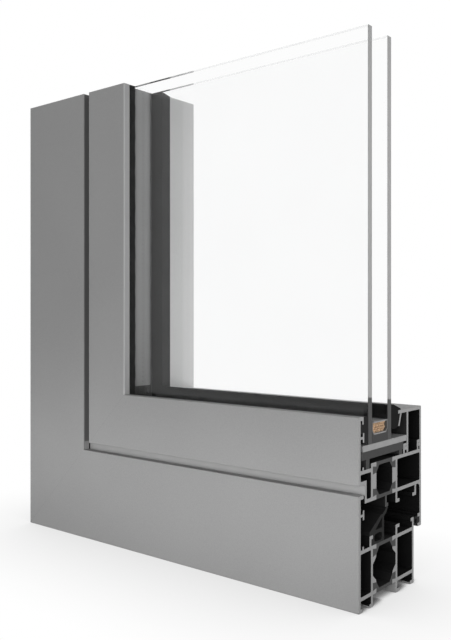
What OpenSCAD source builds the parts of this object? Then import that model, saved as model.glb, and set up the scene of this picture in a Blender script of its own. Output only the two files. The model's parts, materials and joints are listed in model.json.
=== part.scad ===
// Corner sample of a thermally broken aluminium window: outer frame, sash and double glazing.
// The outer corner is at the lower left, and the cut ends face right and up.
// X runs along the sill, Y from the outside face to the room, Z up. Sizes in mm.

/* [Sample] */
// Length of the sill, outer corner to cut end
sill_length = 258; // [230:1:320]
// Height of the jamb, feet to cut top
jamb_height = 286; // [270:1:360]

/* [Extrusions] */
// Wall of the aluminium extrusions
wall = 1.8; // [1.6:0.1:2]
// Rounding of the extrusions' outside edges
edge_radius = 0.35; // [0.2:0.05:0.45]
// Fillet in the corners of the chambers
chamber_radius = 0.7; // [0.3:0.1:1]
// Depth of the outside shell, face to bar groove
shell_depth = 13.8; // [13:0.2:15]
// Depth of the frame's room-side shell, bar groove to room face
room_depth = 20.7; // [18.5:0.5:24]
// Reach of the turned tips on the hardware grooves
hook_tip = 2.5; // [2:0.1:3]
// Reach of the short turned tips and toes
short_tip = 1.6; // [1.2:0.1:1.8]
// Reach of the lip behind the edge of a face
face_lip = 2.9; // [2.6:0.1:3.1]
// Distance of the T-shaped ribs' backs from the outside face
tee_back = 5.3; // [5.1:0.1:5.6]
// Thickness of the ribs' heads and of the small ridges
tee_plate = 1.3; // [1.1:0.1:1.4]
// Thickness of the ribs' stems
tee_stem = 1.2; // [1:0.1:1.4]
// Height of the ribs' heads
tee_span = 4.8; // [4.4:0.2:5.2]
// Height of the ridges that face the ribs
ridge_height = 1.6; // [1.2:0.1:2]

/* [Thermal break] */
// Width of the insulating bars, groove to groove
bar_width = 24; // [22:1:28]
// Depth of the rolled jaws that grip a bar
jaw_depth = 3.6; // [3.2:0.1:3.8]
// Height of a bar's dovetail head at its root
head_height = 4; // [3.6:0.1:4.2]
// Narrowing of the bar groove at its mouth, each side
jaw_taper = 0.5; // [0.3:0.1:0.6]
// Length of the slanted knee between a bar's head and its web
bar_knee = 2.8; // [2:0.2:3.4]
// Set-off of the sash bar's fin from the middle of the bar
fin_offset = 0.6; // [0:0.2:1.2]

/* [Outer frame] */
// Visible width of the frame
frame_face = 56.4; // [54:0.2:62]
// Height of the feet below the chambers
foot_height = 5.6; // [4.8:0.2:6.2]
// Height of the chambers' box
frame_box = 24.4; // [23:0.2:25]
// Height of the hooks above the box
frame_hook = 5.1; // [4.6:0.1:5.6]
// Distance of the frame's rib below the edge of its face
frame_rib = 9.7; // [9:0.1:10.4]
// Distance of the gasket's hook from the bar groove
hook_setback = 3.3; // [3:0.1:3.6]

/* [Sash] */
// Open joint between the faces of the frame and the sash
shadow_gap = 5; // [4:0.5:6]
// Visible width of the sash
sash_face = 33; // [32:0.5:36]
// Stand of the sash beyond the frame's room face
sash_overhang = 9; // [8.5:0.1:10]
// Height of the sash chambers' box
sash_box = 18.6; // [18:0.2:19.2]
// Drop of that box below the sash's face
sash_drop = 9.3; // [8.9:0.1:9.7]
// Set-back of the sash below its face
sash_setback = 5.8; // [5:0.2:6]
// Height of the outside chamber above the face's lower edge
face_chamber = 7; // [6.4:0.2:7.4]
// Distance of the sash's rib below the edge of its face
sash_rib = 10.2; // [10:0.1:10.6]
// Drop of the nib behind the sash's lip
nib_drop = 3.7; // [3.5:0.1:3.9]
// Distance of the hardware groove from the flange
groove_setback = 4.3; // [3.6:0.1:5]
// Drop of the hardware hooks
groove_hook = 5.6; // [5:0.2:6]
// Overlap of the sash flange on the frame's room-side hook
flange_overlap = 6.2; // [5.6:0.2:6.8]
// Reach of the two ribs of the seal's groove
seal_rib = 2.4; // [2:0.1:2.8]
// Height of the seal's groove
seal_groove = 3.4; // [3:0.1:3.8]
// Fillet between the flange and the sash's floor
flange_fillet = 2.6; // [1.6:0.2:3]
// Height of the bead clips
clip_height = 5.2; // [4.8:0.1:5.4]
// Thickness of the bead clips and of the bead's arm
clip_plate = 1.5; // [1.3:0.1:1.6]

/* [Glazing] */
// Thickness of each pane
pane = 4; // [3:1:6]
// Space between the panes
cavity = 16; // [12:1:18]
// Outside face to the first pane
glass_front = 9.2; // [8.8:0.1:10]
// Cover of the sash over the edge of the glass
glass_cover = 14.2; // [13.8:0.1:14.6]
// Height of the spacer tube
spacer_height = 6.4; // [6:0.2:7]
// Wall of the spacer tube
spacer_wall = 0.6; // [0.5:0.1:0.8]
// Chamfer of the spacer's lower corners
spacer_chamfer = 1.8; // [1.2:0.2:2.4]
// Depth of the seal below the spacer
seal_depth = 4.2; // [3.6:0.2:4.6]
// Set-back of the desiccant from the cut ends
desiccant_setback = 1.6; // [1:0.2:3]
// Thickness of the setting block
block_thickness = 3; // [2:0.5:4]
// Length of the setting block and its bridge
block_length = 100; // [60:5:120]
// Thickness of the bridge's plate
bridge_plate = 4; // [3:0.2:4.2]
// Thickness of the bridge's feet
bridge_foot = 3.4; // [2.6:0.2:4]
// Distance of the bridge's feet from its edges
bridge_inset = 4.6; // [3.6:0.2:5]

/* [Bead] */
// Height of the bead above the rebate
bead_height = 23.4; // [22:0.2:24]
// Distance of the bead's inner wall from the sash's room face
bead_width = 17.2; // [16.6:0.2:17.6]
// Height of the toes that snap under the clips
bead_toe = 1.9; // [1.6:0.1:2]
// Drop of the arm that holds the room-side gasket
arm_drop = 6.4; // [5.6:0.2:7]
// Lean of that arm
arm_lean = 2.3; // [1.8:0.1:2.6]

/* [Gaskets] */
// Play between a gasket, block or toe and its seat
play = 0.15; // [0.1:0.05:0.2]
// Height of the outside gasket's lip above the sash, below it where negative
gasket_lip = -0.2; // [-0.6:0.2:2.4]
// Width of the room-side gasket, pane to bead
room_gasket = 7.5; // [6:0.5:8.5]
// Height of the room-side gasket above the bead
room_lip = 3.8; // [1.6:0.2:5]
// Reach of the room-side gasket over the bead
room_reach = 3; // [1.6:0.2:4]
// Wall of the hollow seals
gasket_wall = 1.1; // [0.9:0.1:1.3]
// Wall of the centre gasket's legs
leg_wall = 1.9; // [1.6:0.1:2.1]

/* [Corner cleats] */
// Length of each leg of a corner cleat beyond its chamber
cleat_leg = 34; // [24:2:44]
// Wall of the cleats
cleat_wall = 3; // [2.4:0.2:3.6]

/* [Hidden] */
steps = 3;
frame_top = foot_height + frame_box;
frame_mid = foot_height + frame_box / 2;
hook_top = frame_top + frame_hook;
bar_mid = shell_depth + bar_width / 2;
room_shell = shell_depth + bar_width;
frame_depth = room_shell + room_depth;
frame_wall = frame_depth - wall;
shell_wall = shell_depth - wall;
mouth = shell_depth + jaw_depth;
gasket_stem = shell_depth - hook_setback;
sash_depth = frame_depth + sash_overhang;
flange_face = sash_depth - wall;
sash_edge = frame_face + shadow_gap;
sash_top = sash_edge + sash_face;
sash_floor = sash_edge - sash_drop;
rebate = sash_floor + sash_box;
sash_mid = sash_floor + sash_box / 2;
face_shelf = sash_edge + face_chamber;
groove_low = sash_floor - groove_hook;
groove_back = flange_face - groove_setback - wall;
flange_low = hook_top - flange_overlap;
frame_tee = frame_face - frame_rib;
sash_tee = sash_top - sash_rib;
lip_back = wall + face_lip;
fin_front = bar_mid + fin_offset;
glass_low = sash_top - glass_cover;
cavity_front = glass_front + pane;
cavity_back = cavity_front + cavity;
glass_back = cavity_back + pane;
spacer_low = glass_low + seal_depth;
spacer_top = spacer_low + spacer_height;
bead_top = rebate + bead_height;
bead_wall = sash_depth - bead_width;
bead_nose = glass_back + room_gasket;
arm_top = bead_nose + arm_lean;
arm_low = bead_top - wall - arm_drop;
clip_tip = bead_wall - play;
clip_front = clip_tip - 2.4 * clip_plate;
clip_rear = flange_face - play - 2 * clip_plate;
toe_high = rebate + clip_height - clip_plate - play;
block_low = glass_low - block_thickness;

metal = [0.62, 0.63, 0.64];
polyamide = [0.22, 0.22, 0.23];
rubber = [0.08, 0.08, 0.09];

// A quarter arc of a rounded corner, from angle a
function arc(y, z, r, a) = [for (i = [0 : steps])
    [y + r * cos(a + 90 * i / steps), z + r * sin(a + 90 * i / steps)]];

// A wall between two corners of the section, its edges rounded
module plate(y0, z0, y1, z1, radius = edge_radius) {
    r = min(radius, 0.48 * (y1 - y0), 0.48 * (z1 - z0));
    polygon(concat(
        arc(y1 - r, z1 - r, r, 0),
        arc(y0 + r, z1 - r, r, 90),
        arc(y0 + r, z0 + r, r, 180),
        arc(y1 - r, z0 + r, r, 270)));
}

// A stem from z0 to z1 with its far end turned by reach, towards the room when positive
module hook(y, z0, z1, reach) {
    tip = z1 > z0 ? z1 - wall : z1;
    plate(y, min(z0, z1), y + wall, max(z0, z1));
    plate(y + min(0, reach), tip, y + wall + max(0, reach), tip + wall);
}

// A T-shaped rib on a face's back
module tee(z) {
    plate(wall / 2, z - tee_stem / 2, tee_back - tee_plate / 2, z + tee_stem / 2);
    plate(tee_back - tee_plate, z - tee_span / 2, tee_back, z + tee_span / 2);
}

// A low ridge on a shelf, below a T-shaped rib
module ridge(z) {
    plate(tee_back - 1.3 * tee_plate, z - wall / 2, tee_back - 0.3 * tee_plate, z + ridge_height);
}

// Twice the signed area of an outline
function turn(p) = [for (i = [0 : len(p) - 1]) cross(p[i], p[(i + 1) % len(p)])] * [for (q = p) 1];

// An outline drawn anticlockwise, so that joined outlines make one face
module outline(p) {
    polygon(turn(p) > 0 ? p : [for (i = [len(p) - 1 : -1 : 0]) p[i]]);
}

// Turns an outline over about a level, or across to the other shell
function over(p, z) = [for (q = p) [q[0], 2 * z - q[1]]];
function across(p) = [for (q = p) [2 * bar_mid - q[0], q[1]]];

// The outer lip of a bar groove, flush with the shell's top
function lip(top) = [[shell_wall, top], [mouth, top], [mouth, top - wall - jaw_taper],
    [shell_depth, top - wall], [shell_wall, top - wall]];

// The rolled-in jaw below a bar's head
function jaw(root) = [[shell_depth - wall / 2, root], [shell_depth, root], [mouth, root + jaw_taper],
    [mouth - 0.4, root - 0.8], [shell_depth, root - jaw_depth], [shell_depth - wall / 2, root - jaw_depth]];

// Both jaws of one shell merged in a block, where the grooves lie close
function jaw_block(root, low) = [[shell_depth - wall / 2, root], [shell_depth, root],
    [mouth, root + jaw_taper], [mouth, low - jaw_taper], [shell_depth, low], [shell_depth - wall / 2, low]];

// An insulating bar: a flat web and two dovetail heads
function bar(top, web, root, far) = [[mouth, top], [far, top], [far, web - jaw_taper], [room_shell, web],
    [room_shell, root], [far, root + jaw_taper], [far - bar_knee, web], [mouth + bar_knee, web],
    [mouth, root + jaw_taper], [shell_depth, root], [shell_depth, web], [mouth, web - jaw_taper]];

function bar_at(top) = bar(top, top - wall, top - wall - head_height, room_shell - jaw_depth);

function frame_jaws() = [for (p = [lip(frame_top), jaw(frame_top - wall - head_height)])
    each [p, over(p, frame_mid)]];

function sash_jaws() = [lip(rebate), over(lip(rebate), sash_mid),
    jaw_block(rebate - wall - head_height, sash_floor + wall + head_height)];

module frame_outer_section() {
    difference() {
        union() {
            hook(0, 0, frame_face, face_lip);
            plate(0, foot_height, shell_depth, frame_top);
            plate(0, 0, wall + short_tip, wall);
            hook(shell_wall, frame_top, 0, -short_tip);
            hook(gasket_stem, frame_top - wall, hook_top, short_tip);
            ridge(frame_top);
            tee(frame_tee);
            for (p = frame_jaws())
                outline(p);
        }
        plate(wall, foot_height + wall, shell_wall, frame_top - wall, chamber_radius);
    }
}

module frame_inner_section() {
    difference() {
        union() {
            plate(room_shell, foot_height, frame_depth, frame_top);
            hook(room_shell, frame_top, 0, hook_tip);
            hook(frame_wall, frame_top, 0, -hook_tip);
            hook(room_shell, frame_top - wall, hook_top, hook_tip);
            hook(frame_wall, frame_top - wall, hook_top, -short_tip);
            for (p = frame_jaws())
                outline(across(p));
        }
        plate(room_shell + wall, foot_height + wall, frame_wall, frame_top - wall, chamber_radius);
    }
}

module sash_outer_section() {
    difference() {
        union() {
            hook(0, sash_edge, sash_top, face_lip);
            plate(lip_back - tee_stem, sash_top - nib_drop, lip_back, sash_top - wall / 2);
            plate(0, sash_edge, shell_depth, face_shelf);
            plate(sash_setback, sash_floor, shell_depth, face_shelf);
            plate(shell_wall, sash_floor, shell_depth, rebate);
            ridge(face_shelf);
            tee(sash_tee);
            for (p = sash_jaws())
                outline(p);
        }
        plate(wall, sash_edge + wall, shell_wall, face_shelf - wall, chamber_radius);
        plate(sash_setback + wall, sash_floor + wall, shell_wall, face_shelf - wall, chamber_radius);
    }
}

// Clip for the bead: an upstand with its tip turned towards the room
module clip(y, reach) {
    plate(y, rebate - wall / 2, y + clip_plate, rebate + clip_height);
    plate(y, rebate + clip_height - clip_plate, y + reach, rebate + clip_height);
}

// A concave quarter fillet below the sash's floor, against the flange
function flange_corner() = concat(
    [[flange_face + wall / 2, sash_floor + wall / 2], [flange_face - flange_fillet, sash_floor + wall / 2]],
    [for (i = [0 : 4]) [flange_face - flange_fillet + flange_fillet * sin(22.5 * i),
        sash_floor - flange_fillet + flange_fillet * cos(22.5 * i)]],
    [[flange_face + wall / 2, sash_floor - flange_fillet]]);

module sash_inner_section() {
    difference() {
        union() {
            plate(room_shell, sash_floor, sash_depth, rebate);
            plate(flange_face, flange_low, sash_depth, rebate);
            hook(room_shell, sash_floor + wall, groove_low, hook_tip);
            hook(groove_back, sash_floor + wall, groove_low, -hook_tip);
            plate(flange_face - seal_rib, flange_low, sash_depth, flange_low + wall);
            plate(flange_face - seal_rib, flange_low + wall + seal_groove, flange_face + wall / 2,
                flange_low + 2 * wall + seal_groove);
            outline(flange_corner());
            clip(clip_front, clip_tip - clip_front);
            clip(clip_rear, 2 * clip_plate);
            for (p = sash_jaws())
                outline(across(p));
        }
        plate(room_shell + wall, sash_floor + wall, flange_face, rebate - wall, chamber_radius);
    }
}

module sash_bar_fin() {
    plate(fin_front, groove_low, fin_front + wall, sash_floor + wall);
    plate(fin_front, groove_low, fin_front + wall + short_tip, groove_low + wall);
}

module bead_section() {
    plate(flange_face, rebate, sash_depth, bead_top);
    plate(bead_nose, bead_top - wall, sash_depth, bead_top);
    plate(bead_wall, rebate + play, bead_wall + wall, bead_top);
    plate(clip_front + clip_plate + play, toe_high - bead_toe, bead_wall + wall, toe_high);
    plate(clip_rear + clip_plate + play, toe_high - bead_toe, flange_face + wall / 2, toe_high);
    outline([[arm_top, bead_top - wall / 2], [arm_top, bead_top - wall], [bead_nose, arm_low],
        [bead_nose + clip_plate, arm_low], [arm_top + clip_plate, bead_top - wall],
        [arm_top + clip_plate, bead_top - wall / 2]]);
}

// Hollow seal on the frame's hook, its nose against the sash's fin
module centre_gasket_section() {
    stem = gasket_stem + wall + play;
    tip = stem + short_tip;
    back = fin_front - gasket_wall;
    shoulder = frame_top + 0.82 * (groove_low - frame_top);
    crown = shoulder - 0.8 * leg_wall;
    shelf = hook_top + leg_wall;
    difference() {
        outline([[stem, frame_top], [back, frame_top], [back, shoulder - 1.3], [back + 2.4, shoulder],
            [back + 4, groove_low - 0.7], [back + 4, groove_low], [back + 2.2, groove_low],
            [back + 1.2, groove_low - 1.4], [back - 1.6, shoulder], [back - 3.6, shoulder - 0.2],
            [gasket_stem, shelf], [gasket_stem, hook_top], [tip, hook_top],
            [tip, hook_top - wall - play], [stem, hook_top - wall - play]]);
        plate(tip + gasket_wall, frame_top + gasket_wall, back - leg_wall, hook_top, leg_wall);
        outline([[tip + 2 * gasket_wall, shelf], [back - leg_wall, shelf], [back - leg_wall, crown]]);
    }
}

// Bulb seal in the sash flange's groove, pressed on the frame's room face
module overlap_seal_section() {
    low = flange_low + wall;
    middle = low + seal_groove / 2;
    root = flange_face - seal_rib;
    bulb = (root - frame_depth + play) / 2;
    centre = frame_depth + bulb;
    difference() {
        outline(concat(
            [[flange_face, low], [flange_face, low + seal_groove], [root, low + seal_groove]],
            [for (i = [2 : 22]) [centre + bulb * cos(15 * i), middle + bulb * sin(15 * i)]],
            [[root, low]]));
        outline([for (i = [0 : 15]) [centre + (bulb - gasket_wall) * cos(22.5 * i),
            middle + (bulb - gasket_wall) * sin(22.5 * i)]]);
    }
}

// Outside glazing seal, its arrow head clipped between the rib and the nib
module outer_gasket_section() {
    low = sash_tee + tee_span / 2 + play;
    high = sash_top - nib_drop - play;
    head = tee_back - tee_plate - play;
    heel = sash_tee - tee_span / 2;
    outline([[wall + play, low - 0.6], [head, low - 0.6], [head, low], [tee_back, low], [tee_back, heel],
        [tee_back + 1, heel - 1], [glass_front, heel - 0.4], [glass_front, sash_top + gasket_lip],
        [glass_front - 1, sash_top + gasket_lip], [tee_back + 0.3, sash_top + min(0.2, gasket_lip)],
        [tee_back, sash_top - 0.6], [tee_back, high], [lip_back - tee_stem - play, high],
        [lip_back - tee_stem - play, high + 0.6], [wall + play, high + 0.6]]);
}

// Room-side wedge seal behind the bead's arm
module inner_gasket_section() {
    outline([[glass_back, arm_low + 0.2], [glass_back + 1.6, arm_low - 1], [bead_nose - 1.6, arm_low - 0.6],
        [bead_nose, arm_low], [arm_top, bead_top - wall], [bead_nose, bead_top - wall], [bead_nose, bead_top],
        [bead_nose + room_reach, bead_top], [bead_nose + room_reach - 0.2, bead_top + 0.7],
        [glass_back + 2.4, bead_top + room_lip - 0.3], [glass_back, bead_top + room_lip]]);
}

function spacer_outline(inset) = [
    [cavity_front + inset, spacer_top - inset],
    [cavity_front + inset, spacer_low + spacer_chamfer + inset * 0.4],
    [cavity_front + spacer_chamfer + inset * 0.4, spacer_low + inset],
    [cavity_back - spacer_chamfer - inset * 0.4, spacer_low + inset],
    [cavity_back - inset, spacer_low + spacer_chamfer + inset * 0.4],
    [cavity_back - inset, spacer_top - inset]];

module spacer_section() {
    difference() {
        outline(spacer_outline(0));
        outline(spacer_outline(spacer_wall));
    }
}

module edge_seal_section() {
    outline([[cavity_front, glass_low], [cavity_back, glass_low], [cavity_back, spacer_low + spacer_chamfer],
        [cavity_back - spacer_chamfer, spacer_low], [cavity_front + spacer_chamfer, spacer_low],
        [cavity_front, spacer_low + spacer_chamfer]]);
}

module bridge_section() {
    low = block_low - bridge_plate;
    front = wall + tee_plate / 2;
    back = clip_front - play;
    plate(front, low, back, block_low);
    plate(front + bridge_inset, face_shelf, front + bridge_inset + bridge_foot, block_low);
    plate(back - bridge_inset, rebate, back - bridge_inset + bridge_foot, block_low);
}

module block_section() {
    plate(tee_back - tee_plate, block_low, bead_wall - play, glass_low);
}

// Places the outer corner so that the part's box is centred over its feet
module at_corner() {
    translate([-sill_length / 2, -sash_depth / 2, 0])
        children();
}

// A section run from the corner, its end cut at 45 degrees
module mitred(length) {
    far = length + 50;
    difference() {
        rotate([90, 0, 90])
            linear_extrude(length)
                children();
        translate([0, sash_depth + 1, 0])
            rotate([90, 0, 0])
                linear_extrude(sash_depth + 2)
                    polygon([[-1, -1], [far, far], [-1, far]]);
    }
}

module sill(setback = 0) {
    at_corner()
        mitred(sill_length - setback)
            children();
}

module jamb(setback = 0) {
    at_corner()
        mirror([1, 0, -1])
            mitred(jamb_height - setback)
                children();
}

// A short length at the sill's cut end
module end_piece(length) {
    at_corner()
        translate([sill_length - length, 0, 0])
            rotate([90, 0, 90])
                linear_extrude(length)
                    children();
}

// L-shaped cleat across the mitre, filling a chamber between two levels
module cleat(y0, y1, low, high) {
    reach = high + cleat_leg;
    end = reach - cleat_wall;
    leg = high + cleat_wall;
    floor = low + cleat_wall;
    inner = high - cleat_wall;
    at_corner()
        translate([0, y1 - chamber_radius, 0])
            rotate([90, 0, 0])
                linear_extrude(y1 - y0 - 2 * chamber_radius)
                    difference() {
                        outline([[low, low], [reach, low], [reach, high],
                            [high, high], [high, reach], [low, reach]]);
                        outline([[leg, floor], [end, floor], [end, inner], [leg, inner]]);
                        outline([[floor, leg], [floor, end], [inner, end], [inner, leg]]);
                    }
}

module pane_at(front) {
    at_corner()
        translate([glass_low, front, glass_low])
            cube([sill_length - glass_low, pane, jamb_height - glass_low]);
}

module frame_sill_outer() {
    color(metal)
        sill()
            frame_outer_section();
}

module frame_sill_inner() {
    color(metal)
        sill()
            frame_inner_section();
}

module frame_jamb_outer() {
    color(metal)
        jamb()
            frame_outer_section();
}

module frame_jamb_inner() {
    color(metal)
        jamb()
            frame_inner_section();
}

module frame_sill_bar_low() {
    color(polyamide)
        sill()
            outline(over(bar_at(frame_top), frame_mid));
}

module frame_sill_bar_high() {
    color(polyamide)
        sill()
            outline(bar_at(frame_top));
}

module frame_jamb_bar_low() {
    color(polyamide)
        jamb()
            outline(over(bar_at(frame_top), frame_mid));
}

module frame_jamb_bar_high() {
    color(polyamide)
        jamb()
            outline(bar_at(frame_top));
}

module frame_cleat_outer() {
    color(metal)
        cleat(wall, shell_wall, foot_height + wall, frame_top - wall);
}

module frame_cleat_inner() {
    color(metal)
        cleat(room_shell + wall, frame_wall, foot_height + wall, frame_top - wall);
}

module centre_gasket() {
    color(rubber) {
        sill()
            centre_gasket_section();
        jamb()
            centre_gasket_section();
    }
}

module sash_rail_outer() {
    color(metal)
        sill()
            sash_outer_section();
}

module sash_rail_inner() {
    color(metal)
        sill()
            sash_inner_section();
}

module sash_stile_outer() {
    color(metal)
        jamb()
            sash_outer_section();
}

module sash_stile_inner() {
    color(metal)
        jamb()
            sash_inner_section();
}

module sash_rail_bar_low() {
    color(polyamide)
        sill() {
            outline(over(bar_at(rebate), sash_mid));
            sash_bar_fin();
        }
}

module sash_rail_bar_high() {
    color(polyamide)
        sill()
            outline(bar_at(rebate));
}

module sash_stile_bar_low() {
    color(polyamide)
        jamb() {
            outline(over(bar_at(rebate), sash_mid));
            sash_bar_fin();
        }
}

module sash_stile_bar_high() {
    color(polyamide)
        jamb()
            outline(bar_at(rebate));
}

module sash_cleat_outer() {
    color(metal)
        cleat(sash_setback + wall, shell_wall, sash_floor + wall, face_shelf - wall);
}

module sash_cleat_inner() {
    color(metal)
        cleat(room_shell + wall, flange_face, sash_floor + wall, rebate - wall);
}

module overlap_seal() {
    color(rubber) {
        sill()
            overlap_seal_section();
        jamb()
            overlap_seal_section();
    }
}

module bead_rail() {
    color(metal)
        sill()
            bead_section();
}

module bead_stile() {
    color(metal)
        jamb()
            bead_section();
}

module outer_gasket() {
    color(rubber) {
        sill()
            outer_gasket_section();
        jamb()
            outer_gasket_section();
    }
}

module inner_gasket() {
    color(rubber) {
        sill()
            inner_gasket_section();
        jamb()
            inner_gasket_section();
    }
}

module outer_pane() {
    color([0.85, 0.93, 0.92, 0.4])
        pane_at(glass_front);
}

module inner_pane() {
    color([0.85, 0.93, 0.92, 0.4])
        pane_at(cavity_back);
}

module spacer() {
    color([0.72, 0.73, 0.74]) {
        sill()
            spacer_section();
        jamb()
            spacer_section();
    }
}

module desiccant() {
    color([0.83, 0.63, 0.47]) {
        sill(desiccant_setback)
            outline(spacer_outline(spacer_wall));
        jamb(desiccant_setback)
            outline(spacer_outline(spacer_wall));
    }
}

module edge_seal() {
    color([0.25, 0.25, 0.26]) {
        sill()
            edge_seal_section();
        jamb()
            edge_seal_section();
    }
}

module glazing_bridge() {
    color([0.25, 0.25, 0.26])
        end_piece(block_length)
            bridge_section();
}

module setting_block() {
    color([0.6, 0.6, 0.6])
        end_piece(block_length)
            block_section();
}

frame_sill_outer();
frame_sill_inner();
frame_jamb_outer();
frame_jamb_inner();
frame_sill_bar_low();
frame_sill_bar_high();
frame_jamb_bar_low();
frame_jamb_bar_high();
frame_cleat_outer();
frame_cleat_inner();
centre_gasket();
sash_rail_outer();
sash_rail_inner();
sash_stile_outer();
sash_stile_inner();
sash_rail_bar_low();
sash_rail_bar_high();
sash_stile_bar_low();
sash_stile_bar_high();
sash_cleat_outer();
sash_cleat_inner();
overlap_seal();
bead_rail();
bead_stile();
outer_gasket();
inner_gasket();
outer_pane();
inner_pane();
spacer();
desiccant();
edge_seal();
glazing_bridge();
setting_block();
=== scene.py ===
import json
from math import radians
import bpy
import numpy as np
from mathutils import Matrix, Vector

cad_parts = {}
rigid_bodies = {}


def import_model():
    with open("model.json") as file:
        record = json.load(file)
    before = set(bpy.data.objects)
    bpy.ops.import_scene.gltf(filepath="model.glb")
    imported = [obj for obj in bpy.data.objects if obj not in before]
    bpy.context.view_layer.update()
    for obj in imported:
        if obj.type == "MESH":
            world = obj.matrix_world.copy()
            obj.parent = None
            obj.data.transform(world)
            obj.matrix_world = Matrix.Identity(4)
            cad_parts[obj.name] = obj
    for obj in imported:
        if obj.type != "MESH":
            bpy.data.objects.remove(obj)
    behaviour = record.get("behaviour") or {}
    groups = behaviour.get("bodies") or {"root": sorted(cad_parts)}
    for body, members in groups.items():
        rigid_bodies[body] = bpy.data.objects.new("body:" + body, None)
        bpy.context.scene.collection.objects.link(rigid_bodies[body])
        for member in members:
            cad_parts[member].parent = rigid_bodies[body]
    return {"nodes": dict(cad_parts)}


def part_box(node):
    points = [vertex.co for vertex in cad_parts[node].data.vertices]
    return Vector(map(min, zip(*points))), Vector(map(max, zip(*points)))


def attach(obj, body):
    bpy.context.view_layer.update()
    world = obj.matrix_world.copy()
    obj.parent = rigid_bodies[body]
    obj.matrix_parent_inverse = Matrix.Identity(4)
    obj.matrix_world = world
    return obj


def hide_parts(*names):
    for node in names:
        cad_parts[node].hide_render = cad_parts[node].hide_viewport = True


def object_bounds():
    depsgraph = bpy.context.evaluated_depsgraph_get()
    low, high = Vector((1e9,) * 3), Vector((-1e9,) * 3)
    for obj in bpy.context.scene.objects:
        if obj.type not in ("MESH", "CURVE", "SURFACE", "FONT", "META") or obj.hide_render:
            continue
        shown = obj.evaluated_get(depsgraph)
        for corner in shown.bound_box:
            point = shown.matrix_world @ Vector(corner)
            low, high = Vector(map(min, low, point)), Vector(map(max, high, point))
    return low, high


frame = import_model()
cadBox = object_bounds()
nodes = frame["nodes"]
cutEnd = cadBox[1].x  # plane of the sill's saw cut
cutTop = cadBox[1].z  # plane of the jamb's saw cut
# depth of the middle between the panes
unitMiddle = (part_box("spacer")[0].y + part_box("spacer")[1].y) / 2 - cadBox[0].y
print("frame loaded:", len(nodes), "solids")


class Wire:  # a node's output that can stand in a sum
    def __init__(self, recipe, socket):
        self.recipe = recipe
        self.socket = socket

    def __add__(self, other):
        return self.recipe.sum("ADD", self, other)

    def __radd__(self, other):
        return self.recipe.sum("ADD", other, self)

    def __sub__(self, other):
        return self.recipe.sum("SUBTRACT", self, other)

    def __rsub__(self, other):
        return self.recipe.sum("SUBTRACT", other, self)

    def __mul__(self, other):
        return self.recipe.sum("MULTIPLY", self, other)

    def __rmul__(self, other):
        return self.recipe.sum("MULTIPLY", other, self)

    def __pow__(self, other):
        return self.recipe.sum("POWER", self, other)

    def __gt__(self, other):
        return self.recipe.sum("GREATER_THAN", self, other)

    def __lt__(self, other):
        return self.recipe.sum("LESS_THAN", self, other)

    def __or__(self, other):  # the larger of two masks
        return self.recipe.sum("MAXIMUM", self, other)

    def __and__(self, other):  # the smaller of two masks
        return self.recipe.sum("MINIMUM", self, other)


class Recipe:  # one node tree, filled a node at a time
    def __init__(self, owner):
        owner.use_nodes = True
        self.owner = owner
        self.tree = owner.node_tree
        self.tree.nodes.clear()

    def node(self, kind, settings=None, sockets=None, output=0):
        made = self.tree.nodes.new(kind)
        for name, value in (settings or {}).items():
            setattr(made, name, value)
        for key, value in (sockets or {}).items():
            entry = self.find(made.inputs, key)
            if isinstance(value, Wire):
                self.tree.links.new(value.socket, entry)
            else:
                entry.default_value = value
        return Wire(self, self.find(made.outputs, output)) if len(made.outputs) else made

    def find(self, sockets, key):
        if isinstance(key, int):
            return sockets[key]
        return next(s for s in sockets if s.enabled and key in (s.name, s.identifier))

    def sum(self, operation, *values):
        return self.node("ShaderNodeMath", {"operation": operation}, dict(enumerate(values)))

    def unsigned(self, value):
        return self.sum("ABSOLUTE", value)

    def soft(self, value, low, high):  # 0 below low, 1 above high, smooth between
        return self.node("ShaderNodeMapRange", {"interpolation_type": "SMOOTHSTEP"},
                         {"Value": value, "From Min": low, "From Max": high})

    def place(self):
        return self.node("ShaderNodeTexCoord", output="Object")

    def along(self, vector):  # the three parts of a place
        made = self.node("ShaderNodeSeparateXYZ", sockets={0: vector}).socket.node
        return [Wire(self, out) for out in made.outputs]

    def noise(self, vector, scale, detail=2.0, roughness=0.5):
        return self.node("ShaderNodeTexNoise", sockets={
            "Vector": vector, "Scale": scale, "Detail": detail, "Roughness": roughness})

    def grains(self, vector, scale):
        return self.node("ShaderNodeTexVoronoi", sockets={"Vector": vector, "Scale": scale},
                         output="Distance")

    def stretch(self, vector, scale):
        return self.node("ShaderNodeMapping", sockets={"Vector": vector, "Scale": scale})

    def blend(self, factor, first, second):  # mixes two colours
        return self.node("ShaderNodeMix", {"data_type": "RGBA"},
                         {"Factor": factor, "A": first, "B": second}, "Result")

    def bump(self, height, distance, strength=0.5):
        return self.node("ShaderNodeBump", sockets={
            "Height": height, "Distance": distance, "Strength": strength})

    def skin(self, **sockets):
        named = {key.replace("_", " "): value for key, value in sockets.items()}
        return self.node("ShaderNodeBsdfPrincipled", sockets=named)

    def close(self, surface):
        isSky = isinstance(self.owner, bpy.types.World)
        self.node("ShaderNodeOutputWorld" if isSky else "ShaderNodeOutputMaterial",
                  sockets={"Surface": surface})
        return self.owner


def newRecipe(name):
    return Recipe(bpy.data.materials.new(name))


def tone(level, warm=0.0):  # a screen grey from 0 to 255 as a scene colour, warm shifts it to amber
    screen = np.clip(np.array([level * (1 + warm), level, level * (1 - warm)]) / 255, 0, 1)
    linear = np.where(screen > 0.04045, ((screen + 0.055) / 1.055) ** 2.4, screen / 12.92)
    return (*linear.tolist(), 1.0)


def section(r, place):  # run along the sill, depth from the outside face, rise from the floor
    x, y, z = r.along(place)
    return x - cadBox[0].x, y - cadBox[0].y, z


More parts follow.
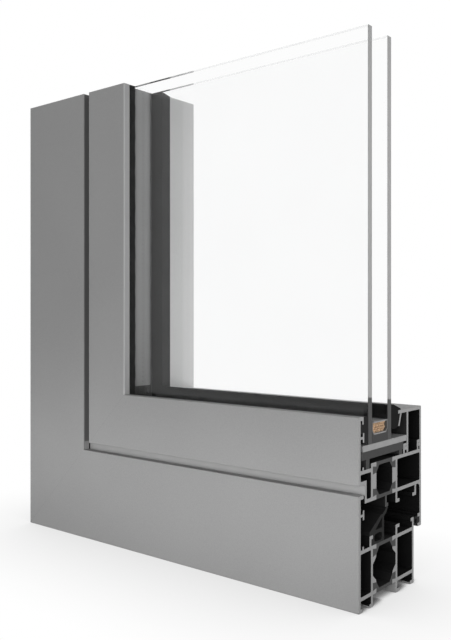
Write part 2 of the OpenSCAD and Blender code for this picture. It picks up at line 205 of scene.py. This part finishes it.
# saw cut: arcs about a blade centre far above, as a ripple and as fine streaks
sawCut = {"centre": (0.30, 0.16, 0.62), "pitch": 0.0011, "skin": 0.00004, "wander": (60.0, 9.0),
          "streaks": 2600.0, "light": tone(152), "dark": tone(126)}


def sawMarks(r, place):
    x, y, z = r.along(place)
    mask = (x > cutEnd - sawCut["skin"]) | (z > cutTop - sawCut["skin"])
    reach = r.node("ShaderNodeVectorMath", {"operation": "DISTANCE"},
                   {0: place, 1: sawCut["centre"]}, "Value")
    scale, wander = sawCut["wander"]
    waves = reach * (2 * np.pi / sawCut["pitch"])
    ripple = r.sum("SINE", waves + r.noise(place, scale) * wander)
    streak = r.node("ShaderNodeTexNoise", {"noise_dimensions": "1D"},
                    {"W": reach * sawCut["streaks"], "Detail": 3.0})
    return mask, ripple, streak


# inside of the profiles: the section's depth and its height above the outer corner
# say which walls face in; those walls and the sill's foot channels take painted shade
inside = {"face": 0.0014, "frameBack": 0.0572, "flangeBack": 0.0664, "flangeLow": 0.0292,
          "foot": 0.0062, "sole": 0.0009, "break": (0.0258, 0.0121), "crown": 0.0925,
          "gap": (0.0560, 0.0617, 0.0062), "skin": 0.0008}


def facesIn(r, place):  # the inside walls, then the jamb's and the sill's side of the open joint
    run, depth, rise = section(r, place)
    height = run & rise  # the same on sill and jamb, which meet where both are equal
    flange = inside["flangeBack"] - inside["frameBack"]
    back = inside["frameBack"] + (height > inside["flangeLow"]) * flange
    middle, half = inside["break"]
    aside = r.unsigned(depth - middle) > half
    channel = (rise < inside["foot"]) * (rise > inside["sole"]) * (rise < run) * aside
    # painted shade goes on these inside walls and on the sill's foot channels
    walls = (depth > inside["face"]) * (depth < back) * (height < inside["crown"])
    walls = walls * ((height > inside["foot"]) | channel)
    low, high, deep = inside["gap"]
    # the open joint: painted shade on its jamb side, painted light on its sill side
    gap = (height > low) * (height < high) * (depth < deep)
    step = gap * (depth > inside["skin"])
    return walls * (1 - gap), step * (rise > high), step * (rise < high)


# hairlines: the mitre where run and rise are equal, and the foot of the bead on the room face
joint = {"mitre": 0.00006, "bead": 0.0707, "half": 0.00012, "skin": 0.0004, "shade": tone(70)}


def hairlines(r, place):
    run, depth, rise = section(r, place)
    mitre = r.unsigned(run - rise) < joint["mitre"]
    foot = r.unsigned((run & rise) - joint["bead"]) < joint["half"]
    return mitre | foot * (depth > cadBox[1].y - cadBox[0].y - joint["skin"])


# powder coat on the extrusions: fine orange peel, a faint speckle, bare metal where it is sawn,
# painted shade on the inside walls
powder = {"peel": 900.0, "speck": 5200.0, "drift": 14.0, "spread": 7, "gloss": 0.07,
          "paintedShadeTerm": (tone(15), tone(24)), "slitShade": -42, "ledgeLight": 5, "hairline": 0.4}
coats = {
    "frameCoat": {"tone": 152, "start": "frame_"},
    # the sash's stile takes a painted highlight along its arris at the glass
    "sashCoat": {"tone": 154, "start": "sash_",
                 "arrisHighlight": {"top": 0.0944, "width": (0.0006, 0.0012), "squeeze": 1.4, "lift": 20}},
    # the bead's crown takes painted light, its web painted shade
    "beadCoat": {"tone": 157, "start": "bead_", "crown": 14, "rearLight": (0.0563, 6),
                 "web": (0.0508, tone(45))},
}


def coatFinish(name, look):
    level = look["tone"]
    r = newRecipe(name)
    place = r.place()
    run, depth, rise = section(r, place)
    mask, ripple, streak = sawMarks(r, place)
    peel = r.noise(place, powder["peel"])
    speck = r.noise(place, powder["speck"], 1.0)
    drift = r.noise(place, powder["drift"], 1.0)
    shade = r.soft(speck * 0.75 + drift * 0.25, 0.25, 0.75)

    def speckled(mean):
        return r.blend(shade, tone(mean - powder["spread"]), tone(mean + powder["spread"]))

    coat = speckled(level)
    # near-black tones of the painted shade inside the profiles
    paintedShadeTerm = r.blend(drift, *powder["paintedShadeTerm"])
    if "rearLight" in look:  # the bead's crown with painted light, paler again along its rear; its web by the glass with painted shade
        start, lift = look["rearLight"]
        lit = level + look["crown"]
        crown = r.blend(depth > start, speckled(lit), speckled(lit + lift))
        coat = r.blend((run & rise) > inside["crown"], coat, crown)
        # painted shade: the bead's web by the glass stays dark
        rear, web = look["web"]
        paintedShadeTerm = r.blend(depth < rear, paintedShadeTerm, web)
    if "arrisHighlight" in look:  # the stile's arris at the glass, with a painted highlight where the light from the right catches it
        arris = look["arrisHighlight"]
        across, deep = run - arris["top"], depth * arris["squeeze"]
        away = (across * across + deep * deep) ** 0.5
        paleShift = (1 - r.soft(away, *arris["width"])) * (rise > arris["top"])
        coat = r.blend(paleShift, coat, tone(level + arris["lift"]))
    walls, slitShade, ledgeLight = facesIn(r, place)
    # painted shade on the jamb's side of the open joint
    coat = r.blend(slitShade, coat, tone(level + powder["slitShade"]))
    # painted light: the sill's side of the open joint a little paler
    coat = r.blend(ledgeLight, coat, tone(level + powder["ledgeLight"]))
    line = hairlines(r, place)
    coat = r.blend(line * powder["hairline"], coat, joint["shade"])
    # painted shade: the inside walls go near black
    coat = r.blend(walls, coat, paintedShadeTerm)
    metal = r.blend(streak, sawCut["dark"], sawCut["light"])
    painted = peel * 0.6 + speck * 0.25 - line * 1.5
    height = (1 - mask) * painted + mask * (ripple * 0.12 + streak * 0.5)
    return r.close(r.skin(
        Base_Color=r.blend(mask, coat, metal),
        Metallic=mask * 0.55,
        Roughness=(1 - mask) * (0.5 + peel * 0.1) + mask * (0.36 + streak * 0.2),
        Specular_IOR_Level=powder["gloss"],
        Normal=r.bump(height, 0.00003, 0.6)))


# glass-filled polyamide of the insulating bars: dark, with short pale fibres where it is cut
polyamideLook = {"body": tone(18), "cut": tone(56), "fibre": tone(94),
                 "lay": (900.0, 3400.0, 2600.0), "mottle": 420.0}


def polyamideFinish():
    r = newRecipe("polyamide")
    place = r.place()
    mask, ripple, streak = sawMarks(r, place)
    fibre = r.soft(r.noise(r.stretch(place, polyamideLook["lay"]), 1.0), 0.62, 0.74)
    mottle = r.noise(place, polyamideLook["mottle"], 3.0)
    body = r.blend(mask * (0.75 + mottle * 0.5), polyamideLook["body"], polyamideLook["cut"])
    return r.close(r.skin(
        Base_Color=r.blend(fibre * (0.06 + mask * 0.6), body, polyamideLook["fibre"]),
        Roughness=0.55 + mottle * 0.2, Specular_IOR_Level=0.2,
        Normal=r.bump(mottle * 0.5 + fibre * 0.3 + mask * ripple * 0.1, 0.00004)))


# cleats: die cast alloy with a grainy skin
castLook = {"pale": tone(150), "dull": tone(112), "grain": 1400.0, "flow": (1.0, 4.0, 1.0)}


def castFinish():
    r = newRecipe("castAlloy")
    place = r.place()
    grain = r.noise(place, castLook["grain"], 3.0)
    flow = r.noise(r.stretch(place, castLook["flow"]), 60.0, 3.0)
    return r.close(r.skin(
        Base_Color=r.blend(flow, castLook["dull"], castLook["pale"]), Metallic=0.8,
        Roughness=0.42 + grain * 0.2, Normal=r.bump(grain, 0.00005)))


# black seals: matt extruded rubber with pores and a bloom of talc, of another tone where it is sawn
rubbers = {
    "outerRubber": {"nodes": ("outer_gasket",), "gloss": 0.12,
                    "deep": tone(29), "bloom": tone(40), "torn": tone(14)},
    "innerRubber": {"nodes": ("inner_gasket",), "gloss": 0.07,
                    "deep": tone(21), "bloom": tone(29), "torn": tone(6),
                    "paleLift": {"face": 0.0334, "rise": (0.0905, 0.0968), "liftStop": 0.0145,
                             "tone": tone(63)}},
    "sealRubber": {"nodes": ("centre_gasket", "overlap_seal"), "gloss": 0.12,
                   "deep": tone(20), "bloom": tone(30), "torn": tone(28)},
}


def rubberFinish(name, look):
    r = newRecipe(name)
    place = r.place()
    mask, ripple, streak = sawMarks(r, place)
    bloom = r.noise(place, 90.0, 4.0, 0.6)
    pores = r.grains(place, 2600.0)
    body = r.blend(r.soft(bloom, 0.35, 0.8), look["deep"], look["bloom"])
    if "paleLift" in look:  # painted light: paler low on the lying leg's face at the glass, where the rail and the outer gasket shade it, stopping short of the saw cut
        paleLift = look["paleLift"]
        run, depth, rise = section(r, place)
        lying = (rise < run) * (depth < paleLift["face"])
        lying = lying * (run < cutEnd - cadBox[0].x - paleLift["liftStop"])
        body = r.blend(lying * (1 - r.soft(rise, *paleLift["rise"])), body, paleLift["tone"])
    return r.close(r.skin(
        Base_Color=r.blend(mask * (0.7 + streak * 0.3), body, look["torn"]),
        Roughness=0.66 + bloom * 0.2, Specular_IOR_Level=look["gloss"],
        Normal=r.bump(pores * 0.1 + bloom * 0.5 + mask * streak * 0.5, 0.000003, 0.2)))


# spacer tube: mill aluminium, one row of pin pricks along the face that looks into the unit,
# dark with painted shade, the face darker towards both sides and near the corner
spacerLook = {"face": tone(137), "dim": tone(124), "sideDarkening": tone(62), "sides": (0.0042, 0.0084),
              "key": tone(40), "cornerReach": 0.0985, "pitch": 0.003, "hole": 0.00026,
              "prickShade": tone(20), "brush": (60.0, 5000.0, 60.0), "tall": 0.0064}


def spacerFinish():
    r = newRecipe("spacerTube")
    place = r.place()
    run, depth, rise = section(r, place)
    across = depth - unitMiddle
    # run and rise add up to the length along either leg, as the other stays the same on its face
    step = r.sum("PINGPONG", run + rise, spacerLook["pitch"] / 2)
    # painted shade: the pin pricks are dark for the shade inside the holes
    prick = (step * step + across * across) ** 0.5 < spacerLook["hole"]
    brush = r.noise(r.stretch(place, spacerLook["brush"]), 1.0)
    metal = r.blend(brush, spacerLook["dim"], spacerLook["face"])
    # darker towards both sides of the face
    sideDarkening = r.soft(r.unsigned(across), *spacerLook["sides"])
    metal = r.blend(sideDarkening * 0.85, metal, spacerLook["sideDarkening"])
    # darker near the corner on both legs
    key = (run | rise) < spacerLook["cornerReach"]
    dark = prick | key
    return r.close(r.skin(
        Base_Color=r.blend(dark, metal, r.blend(key, spacerLook["prickShade"], spacerLook["key"])),
        Metallic=0.45 - dark * 0.45,
        Roughness=0.38 + brush * 0.2, Normal=r.bump(brush * 0.3 - prick, 0.00005)))


# molecular sieve in the tube: clay beads packed at the cut ends
beadLook = {"clay": tone(162, 0.2), "pale": tone(192, 0.16), "dark": tone(98, 0.26),
            "radius": 0.00066, "seed": 7, "wall": 0.0006, "apart": (2.02, 1.86),
            "chamfer": (0.0042, 0.0026), "proud": (-0.2, 0.62), "jitter": 0.05, "least": 0.9}


def clayFinish():
    r = newRecipe("sieveClay")
    place = r.place()
    # pale dust over the clay
    paleLift = r.noise(place, 2200.0, 3.0)
    patch = r.noise(place, 700.0)
    clay = r.blend(r.soft(patch, 0.3, 0.7), beadLook["dark"], beadLook["clay"])
    return r.close(r.skin(
        Base_Color=r.blend(paleLift * 0.6, clay, beadLook["pale"]),
        Roughness=0.8, Specular_IOR_Level=0.25, Normal=r.bump(paleLift, 0.00006)))


# edge seal: two-part sealant, trowelled, slightly wavy
sealantLook = {"body": tone(42), "paleShift": tone(56), "wave": (120.0, 500.0, 120.0), "pits": 900.0}


def sealantFinish():
    r = newRecipe("edgeSealant")
    place = r.place()
    mask, ripple, streak = sawMarks(r, place)
    wave = r.noise(r.stretch(place, sealantLook["wave"]), 1.0, 3.0)
    pit = r.soft(r.grains(place, sealantLook["pits"]), 0.0, 0.16)
    return r.close(r.skin(
        # paler where the sealant is worn
        Base_Color=r.blend(wave, sealantLook["body"], sealantLook["paleShift"]),
        Roughness=0.55 + wave * 0.2, Specular_IOR_Level=0.2,
        Normal=r.bump(wave + pit * 0.5 + mask * streak * 0.4, 0.00006)))


# butyl between the spacer and the panes: black, tacky, with small ridges where it was pressed
butylLook = {"body": tone(28), "press": tone(44), "ridges": (260.0, 90.0, 260.0),
             "width": 0.0012, "proud": 0.00032, "sunk": 0.00006, "inset": 0.00005,
             "short": 0.00002, "wave": 0.16, "beats": (0.55, 1.31), "stations": 150}


def butylFinish():
    r = newRecipe("butyl")
    place = r.place()
    ridge = r.noise(r.stretch(place, butylLook["ridges"]), 1.0, 3.0)
    return r.close(r.skin(
        Base_Color=r.blend(ridge, butylLook["body"], butylLook["press"]),
        Roughness=0.4 + ridge * 0.25, Specular_IOR_Level=0.25, Normal=r.bump(ridge, 0.00005)))


# moulded plastics: the pale setting block and the dark bridge below it
plastics = {
    "blockPlastic": {"node": "setting_block", "low": tone(138), "high": tone(152)},
    "bridgePlastic": {"node": "glazing_bridge", "low": tone(40), "high": tone(51)},
}


def plasticFinish(name, look):
    r = newRecipe(name)
    place = r.place()
    mask, ripple, streak = sawMarks(r, place)
    swirl = r.noise(r.stretch(place, (40.0, 300.0, 300.0)), 1.0, 3.0)
    spark = r.noise(place, 3000.0)
    return r.close(r.skin(
        Base_Color=r.blend(swirl, look["low"], look["high"]),
        Roughness=0.5 + spark * 0.2, Specular_IOR_Level=0.2,
        Normal=r.bump(spark * 0.6 + mask * streak * 0.6, 0.00004)))


# panes: clear float glass with a ground rim and seamed arrises
glassLook = {"arris": 0.0002, "hair": 0.00003, "bend": 1.4, "coating": (0.5, 0.5, 0.5, 1.0),
             "tints": ((0.964, 0.966, 0.966, 1.0), (0.984, 0.986, 0.986, 1.0)),
             "lampTint": (0.97, 0.975, 0.975, 1.0), "rim": tone(160), "rimDeep": tone(146),
             "seatedShade": tone(45), "seat": (0.1014, 0.1024), "lean": 0.1275,
             "sawn": (tone(180), tone(194))}


def glassFinish():  # lamp light goes straight through, the lens sees it bend
    r = newRecipe("clearFloat")
    haze = r.noise(r.place(), 24.0)
    pane = r.skin(
        Base_Color=r.blend(haze, *glassLook["tints"]), Roughness=haze * 0.004,
        IOR=glassLook["bend"], Specular_IOR_Level=0.2, Specular_Tint=glassLook["coating"],
        Transmission_Weight=1.0)
    through = r.node("ShaderNodeBsdfTransparent", sockets={"Color": glassLook["lampTint"]})
    lamp = r.node("ShaderNodeLightPath", output="Is Shadow Ray")
    return r.close(r.node("ShaderNodeMixShader", sockets={0: lamp, 1: pane, 2: through}))


def rimFinish():  # ground grey above the gaskets, with painted shade where the rim is seated between them
    r = newRecipe("groundRim")
    place = r.place()
    run, depth, rise = section(r, place)
    grit = r.noise(place, 1800.0, 3.0)
    drag = r.noise(r.stretch(place, (700.0, 40.0, 40.0)), 1.0)
    height = (run & rise) + (depth - unitMiddle) * glassLook["lean"]  # seated higher outside
    ground = r.blend(drag, glassLook["rimDeep"], glassLook["rim"])
    # below the seat line the rim takes painted shade
    paintedShadeTerm = r.soft(height, *glassLook["seat"])
    return r.close(r.skin(
        Base_Color=r.blend(paintedShadeTerm, glassLook["seatedShade"], ground), Roughness=0.35 + grit * 0.2,
        IOR=1.5, Specular_IOR_Level=0.3, Normal=r.bump(grit * 0.5 + drag * 0.5, 0.00003)))


def sawnFinish():  # half clear, half grey from the saw
    r = newRecipe("sawnEdge")
    grit = r.noise(r.place(), 1500.0, 3.0)
    return r.close(r.skin(
        Base_Color=r.blend(grit, *glassLook["sawn"]), Roughness=0.01 + grit * 0.02,
        IOR=glassLook["bend"], Specular_IOR_Level=0.3, Transmission_Weight=0.86))


def dress(name, finish):  # a CAD solid keeps its mesh and takes the finish through its slots
    solid = nodes[name]
    for slot in solid.material_slots:
        slot.material = finish
    if not solid.material_slots:
        solid.data.materials.append(finish)


polyamide, cast = polyamideFinish(), castFinish()
for title, look in coats.items():
    finish = coatFinish(title, look)
    for name in nodes:
        if name.startswith(look["start"]) and "_bar_" not in name and "_cleat_" not in name:
            dress(name, finish)
for name in nodes:
    if "_bar_" in name:
        dress(name, polyamide)
    if "_cleat_" in name:
        dress(name, cast)
for title, look in rubbers.items():
    finish = rubberFinish(title, look)
    for name in look["nodes"]:
        dress(name, finish)
for title, look in plastics.items():
    dress(look["node"], plasticFinish(title, look))
dress("spacer", spacerFinish())
dress("edge_seal", sealantFinish())
clay, tacky = clayFinish(), butylFinish()
dress("desiccant", clay)
clear, rim, sawn = glassFinish(), rimFinish(), sawnFinish()
dress("outer_pane", clear)
dress("inner_pane", clear)
print("finishes on", len(nodes), "solids,", len(bpy.data.materials), "materials")


def addPiece(name, points, faces, finishes, marks=None, smooth=True):
    mesh = bpy.data.meshes.new(name)
    mesh.from_pydata(points.reshape(-1, 3).tolist(), [], faces)
    for finish in finishes:
        mesh.materials.append(finish)
    if marks is not None:
        mesh.polygons.foreach_set("material_index", marks)
    mesh.polygons.foreach_set("use_smooth", np.full(len(mesh.polygons), smooth))
    mesh.update()
    piece = bpy.data.objects.new(name, mesh)
    bpy.context.scene.collection.objects.link(piece)
    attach(piece, "root")
    return piece


# corner numbers of the four-sided faces between rings of points that follow each other
def quadsBetween(rings, count):
    row, col = np.meshgrid(np.arange(rings - 1), np.arange(count), indexing="ij")
    after = (col + 1) % count
    quads = np.stack([row * count + col, (row + 1) * count + col,
                      (row + 1) * count + after, row * count + after], -1)
    return quads.reshape(-1, 4)


# a pane: four rectangles one behind the other, the first and last drawn in by the arris,
# joined corner to corner
def glassPane(name, solid):
    low, high = (np.array(corner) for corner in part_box(solid))
    low, high = low + glassLook["hair"], high - glassLook["hair"]  # no face shares a seal's plane
    inset = glassLook["arris"]
    inward = np.array([inset, 0, 0, inset])
    depth = np.array([low[1], low[1] + inset, high[1] - inset, high[1]])
    side = np.array([[0, 0], [1, 0], [1, 1], [0, 1]])
    corner = np.array([low[0], low[2]]) + side * np.array([high[0] - low[0], high[2] - low[2]])
    drawn = np.stack([1 - 2 * side[:, 0], 1 - side[:, 1]], -1)  # no arris on the sawn top
    ring = corner[None] + drawn[None] * inward[:, None, None]
    back = np.broadcast_to(depth[:, None], ring.shape[:2])
    points = np.stack([ring[..., 0], back, ring[..., 1]], -1)
    walls = quadsBetween(4, 4)
    faces = [[0, 1, 2, 3], [15, 14, 13, 12], *walls.tolist()]
    sawnTop = np.arange(len(walls)) % 4 == 2
    marks = np.concatenate([[0, 0], np.where(sawnTop, 2, 1)]).astype(np.int32)
    piece = addPiece(name, points, faces, [clear, rim, sawn], marks, False)
    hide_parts(solid)
    return piece


glassPane("outerGlass", "outer_pane")
glassPane("innerGlass", "inner_pane")
print("panes made")


# butyl line: half an ellipse with a sunk base, carried from the sill's cut end round the corner
# to the jamb's cut top, its width swelling and shrinking as a sum of two sines along the way
def butylLine(name, start, side):
    low = np.array(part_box("spacer")[0])
    faceX, faceZ = low[0] + spacerLook["tall"], low[2] + spacerLook["tall"]
    endX, endZ = cutEnd - butylLook["short"], cutTop - butylLook["short"]
    turn = np.linspace(0, np.pi, 7)
    sunk = [-butylLook["sunk"]]
    across = np.concatenate([[0], (1 - np.cos(turn)) / 2, [1]]) * butylLook["width"]
    up = np.concatenate([sunk, np.sin(turn) * butylLook["proud"], sunk])
    share = np.linspace(0, 1, butylLook["stations"])[:, None]
    sillX = endX + (faceX + up - endX) * share
    jambZ = faceZ + up + (endZ - faceZ - up) * share[1:]
    x = np.concatenate([sillX, np.broadcast_to(faceX + up, jambZ.shape)])
    z = np.concatenate([np.broadcast_to(faceZ + up, sillX.shape), jambZ])
    along = np.arange(len(x))[:, None]
    slow, quick = butylLook["beats"]
    sway = np.sin(along * slow + side) + 0.6 * np.sin(along * quick)
    y = start + side * across * (1 + butylLook["wave"] * sway)
    points = np.stack([x, y, z], -1)
    ring = points.shape[1]
    walls = quadsBetween(len(x), ring)[:, [0, 3, 2, 1]]
    ends = [np.arange(ring)[::-1], np.arange(ring) + (len(x) - 1) * ring]
    if side < 0:  # mirrored, so its faces turn round
        walls, ends = walls[:, ::-1], [end[::-1] for end in ends]
    faces = [*walls.tolist(), *[end.tolist() for end in ends]]
    return addPiece(name, points, faces, [tacky])


butylLine("butylOutside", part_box("spacer")[0].y + butylLook["inset"], 1)
butylLine("butylRoom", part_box("spacer")[1].y - butylLook["inset"], -1)
print("butyl lines laid")


# one bead: a ball as a ring of angles by a ring of heights, closed by a fan at each pole
def ball(radius, around=8, rings=6):
    turn, tilt = np.arange(around) * 2 * np.pi / around, np.linspace(0, np.pi, rings + 1)[1:-1]
    u, v = np.meshgrid(turn, tilt)
    skin = np.stack([np.cos(u) * np.sin(v), np.sin(u) * np.sin(v), np.cos(v)], -1).reshape(-1, 3)
    points = np.concatenate([skin, [[0, 0, 1], [0, 0, -1]]]) * radius
    last = len(skin) - around
    here, after = np.arange(around), (np.arange(around) + 1) % around
    capTop = np.stack([here, after, np.full(around, len(skin))], -1)
    capLow = np.stack([last + after, last + here, np.full(around, len(skin) + 1)], -1)
    return points, quadsBetween(rings - 1, around), np.concatenate([capTop, capLow])


# a bed of beads: centres in rows across the tube, every second row set over by a radius,
# each one moved a little by dice, none in the chamfered foot of the tube
def sieveBeads(name, axis):
    low, high = (np.array(corner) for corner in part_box("spacer"))
    bed = np.array(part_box("desiccant")[1])
    dice = np.random.default_rng(beadLook["seed"] + axis)
    size, wall, tubeTall = beadLook["radius"], beadLook["wall"], spacerLook["tall"]
    cross = 0 if axis == 2 else 2  # the direction across the tube's height
    stepWide, stepTall = beadLook["apart"]
    wide = np.arange(low[1] + wall + size, high[1] - wall - size * 0.9, size * stepWide)
    top = low[cross] + tubeTall - wall
    tall = np.arange(top - size, top - tubeTall + 2 * wall + size * 0.6, -size * stepTall)
    a, b = np.meshgrid(wide, tall)
    a = a + (np.arange(len(tall)) % 2)[:, None] * size
    footStart, footIn = beadLook["chamfer"]
    sunk = (low[cross] + tubeTall - b) > footStart
    slanted = sunk & ((a < low[1] + footIn) | (a > high[1] - footIn))
    keep = (a < high[1] - wall - size) & ~slanted
    a, b = a[keep], b[keep]
    centre = np.zeros((len(a), 3))
    centre[:, 1], centre[:, cross] = a, b
    jitter = beadLook["jitter"]
    centre[:, axis] = bed[axis] + dice.uniform(*beadLook["proud"], len(a)) * size
    centre[:, [1, cross]] += dice.uniform(-jitter, jitter, (len(a), 2)) * size
    points, quads, caps = ball(size)
    sizes = dice.uniform(beadLook["least"], 1.0, (len(a), 1, 1))
    spread = (centre[:, None, :] + points[None] * sizes).reshape(-1, 3)
    shift = np.arange(len(a))[:, None, None] * len(points)
    faces = [*(quads[None] + shift).reshape(-1, 4).tolist(),
             *(caps[None] + shift).reshape(-1, 3).tolist()]
    return addPiece(name, spread, faces, [clay])


sieveBeads("sieveBeadsSill", 0)
sieveBeads("sieveBeadsJamb", 2)
print("sieve beads set in both cut ends")


# studio: pale floor that goes over into white away from the sample, soft lamps, even sky
studio = {"floor": 3.0, "drop": 0.0001, "fade": (0.35, 1.1), "bounce": (0.85, 0.85, 0.85, 1.0),
          "shadow": 0.42, "reach": 0.1,
          "contact": 0.012, "lean": (0.05, -0.66, 0.75), "grip": (0.2, 0.6), "press": 0.92,
          "horizon": 1.0, "zenith": 0.06, "climb": (0.05, 0.7)}
white, black = (1.0, 1.0, 1.0, 1.0), (0.0, 0.0, 0.0, 1.0)


def seen(r):  # 1 for what the lens, a reflection or a pane shows
    rays = r.node("ShaderNodeLightPath").socket.node.outputs
    lensRay, shineRay, paneRay = (Wire(r, rays[name]) for name in (
        "Is Camera Ray", "Is Glossy Ray", "Is Transmission Ray"))
    return lensRay | shineRay | paneRay


def floorFinish():  # a wide weak shadow all round and a short strong one at the foot
    r = newRecipe("paleFloor")
    away = r.node("ShaderNodeVectorMath", {"operation": "LENGTH"}, {0: r.place()}, "Value")
    fade = r.soft(away, *studio["fade"])
    wideSky = r.node("ShaderNodeAmbientOcclusion", {"samples": 24},
                     {"Distance": studio["reach"]}, "AO")
    lean = r.node("ShaderNodeCombineXYZ", sockets=dict(enumerate(studio["lean"])))
    nearSky = r.node("ShaderNodeAmbientOcclusion", {"samples": 24},
                     {"Distance": studio["contact"], "Normal": lean}, "AO")  # lit from the front
    contact = r.soft(1 - nearSky, *studio["grip"])
    shadow = (studio["shadow"] * (1 - wideSky) | contact * studio["press"]) * (1 - fade)
    shown = r.node("ShaderNodeEmission", sockets={"Color": r.blend(shadow, white, black)})
    plain = r.node("ShaderNodeBsdfDiffuse", sockets={"Color": studio["bounce"]})
    return r.close(r.node("ShaderNodeMixShader", sockets={0: seen(r), 1: plain, 2: shown}))


def layFloor():  # one flat square
    mesh = bpy.data.meshes.new("studioFloor")
    side = np.array([[-1, -1], [1, -1], [1, 1], [-1, 1]]) * studio["floor"]
    corners = np.concatenate([side, np.full((4, 1), -studio["drop"])], 1)
    mesh.from_pydata(corners.tolist(), [], [[0, 1, 2, 3]])
    mesh.materials.append(floorFinish())
    floor = bpy.data.objects.new("studioFloor", mesh)
    bpy.context.scene.collection.objects.link(floor)


def lightSky():  # bright at the horizon, dim overhead, plain white where it is seen
    world = bpy.data.worlds.new("studioSky")
    bpy.context.scene.world = world
    r = Recipe(world)
    x, y, up = r.along(r.node("ShaderNodeTexCoord", output="Generated"))
    dim = studio["zenith"] - studio["horizon"]
    level = studio["horizon"] + r.soft(up, *studio["climb"]) * dim
    dome = r.node("ShaderNodeBackground", sockets={"Color": white, "Strength": level})
    plain = r.node("ShaderNodeBackground", sockets={"Color": white, "Strength": 1.0})
    r.close(r.node("ShaderNodeMixShader", sockets={0: seen(r), 1: dome, 2: plain}))


lamps = {
    "sideRight": {"at": (0.60, 0.20, 0.22), "aim": (-0.05, 0.03, 0.15),
                  "size": (0.4, 0.26), "watts": 1.52, "shine": True},
    "backFill": {"at": (0.08, 0.16, 0.05), "aim": (-0.04, 0.02, 0.18),
                 "size": (0.1, 0.1), "watts": 0.2, "shine": False},
    "keyFront": {"at": (0.35, -0.75, 0.20), "aim": (0.0, 0.0, 0.16),
                 "size": (0.5, 0.4), "watts": 2.73, "shine": True},
    "lowFront": {"at": (0.08, -0.103, 0.045), "aim": (0.08, -0.03, 0.045),
                 "size": (0.5, 0.03), "watts": 0.085, "shine": False},
}


def hangLamps():  # the lamps light the sample alone, the floor is lit by the sky
    sample = bpy.data.collections.new("sample")
    for piece in bpy.data.objects:
        if piece.type == "MESH" and piece.name != "studioFloor":
            sample.objects.link(piece)
    for name, look in lamps.items():
        data = bpy.data.lights.new(name, "AREA")
        data.shape = "RECTANGLE"
        data.size, data.size_y = look["size"]
        data.energy = look["watts"]
        lamp = bpy.data.objects.new(name, data)
        lamp.location = look["at"]
        beam = Vector(look["aim"]) - Vector(look["at"])
        lamp.rotation_euler = beam.to_track_quat("-Z", "Y").to_euler()
        lamp.visible_camera = False
        lamp.visible_glossy = look["shine"]
        lamp.visible_transmission = False
        lamp.light_linking.receiver_collection = sample
        bpy.context.scene.collection.objects.link(lamp)


lens = {"at": (0.3166, -0.36125, 0.1449), "turn": 39.52, "length": 43.62,
        "across": -0.00078, "rise": -0.01156, "near": 0.01}


def setLens():  # level, so upright edges stay upright
    data = bpy.data.cameras.new("lens")
    data.lens = lens["length"]
    data.sensor_width = 36.0
    data.shift_x = lens["across"]
    data.shift_y = lens["rise"]
    data.clip_start = lens["near"]
    camera = bpy.data.objects.new("lens", data)
    camera.location = lens["at"]
    camera.rotation_euler = (radians(90), 0.0, radians(lens["turn"]))
    bpy.context.scene.collection.objects.link(camera)
    bpy.context.scene.camera = camera


layFloor()
lightSky()
hangLamps()
setLens()
bpy.context.scene.view_settings.view_transform = "Standard"
print("floor, lamps and lens in place")
